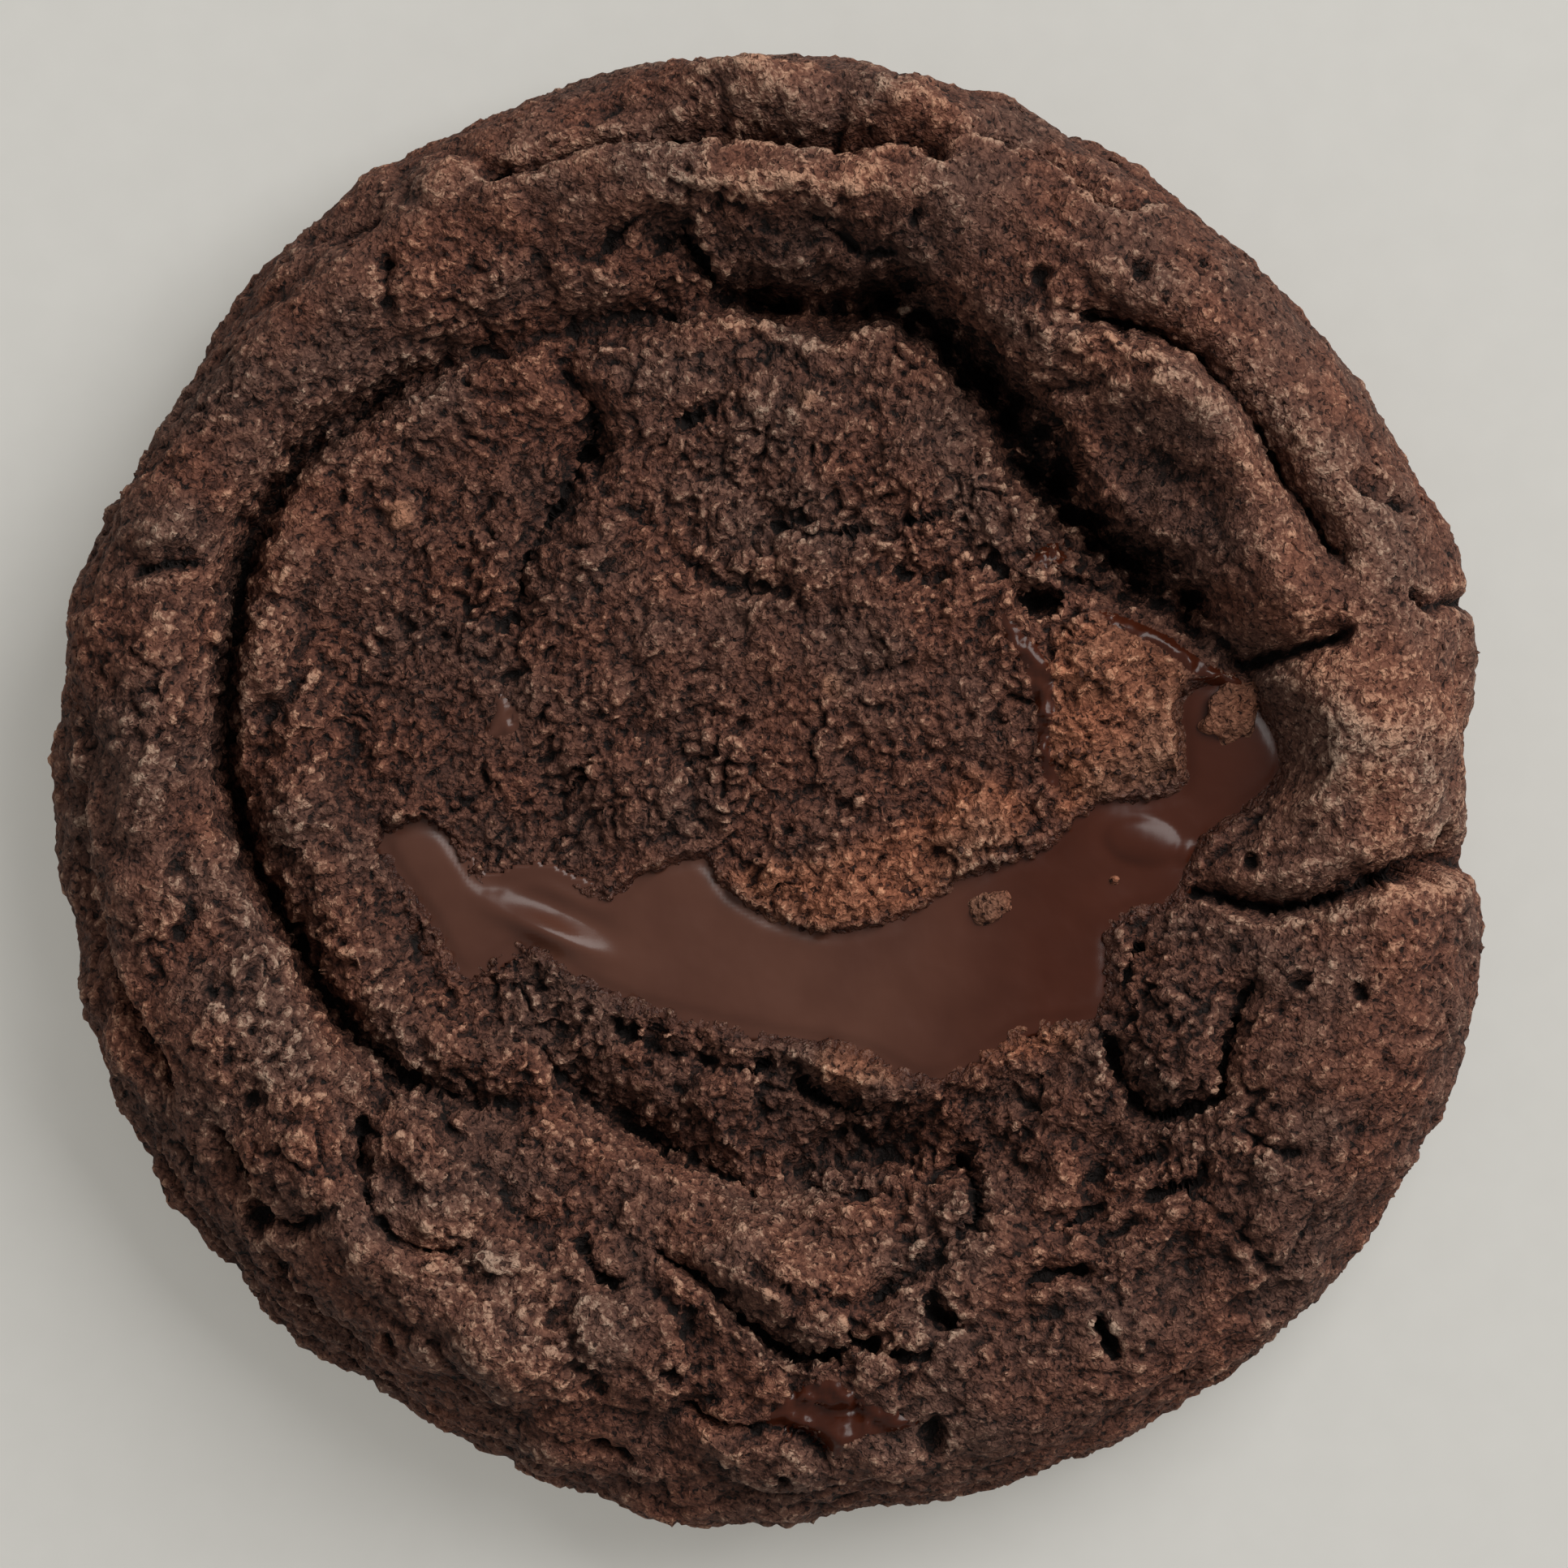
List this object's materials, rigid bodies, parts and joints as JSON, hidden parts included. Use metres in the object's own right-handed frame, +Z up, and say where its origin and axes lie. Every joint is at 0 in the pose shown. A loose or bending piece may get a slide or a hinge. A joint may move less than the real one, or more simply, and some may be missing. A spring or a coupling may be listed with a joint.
{
  "type": "double chocolate cookie",
  "caption": "Thick round double chocolate cookie with a rolled, cracked rim and melted chocolate pooled in its dished centre. Lies flat.",
  "frame": {"origin": "middle of the cookie's box, on the surface that it lies on", "axes": "+Z up, out of the face with the chocolate; +Y towards the side with the slotted fold, away from the small chocolate patch; +X towards the side with the two cracks through the rim"},
  "size_m": [0.0879, 0.0905, 0.0184],
  "materials": {
    "dough": "dark brown baked cocoa dough, matt, crumbly and porous",
    "chocolate": "melted dark chocolate, smooth, with a soft satin gloss"
  },
  "bodies": {
    "root": {"cookie": "dough", "chocolate_pool": "chocolate", "chocolate_patch": "chocolate", "chocolate_fleck_left": "chocolate", "chocolate_fleck_right": "chocolate"}
  },
  "joints": []
}
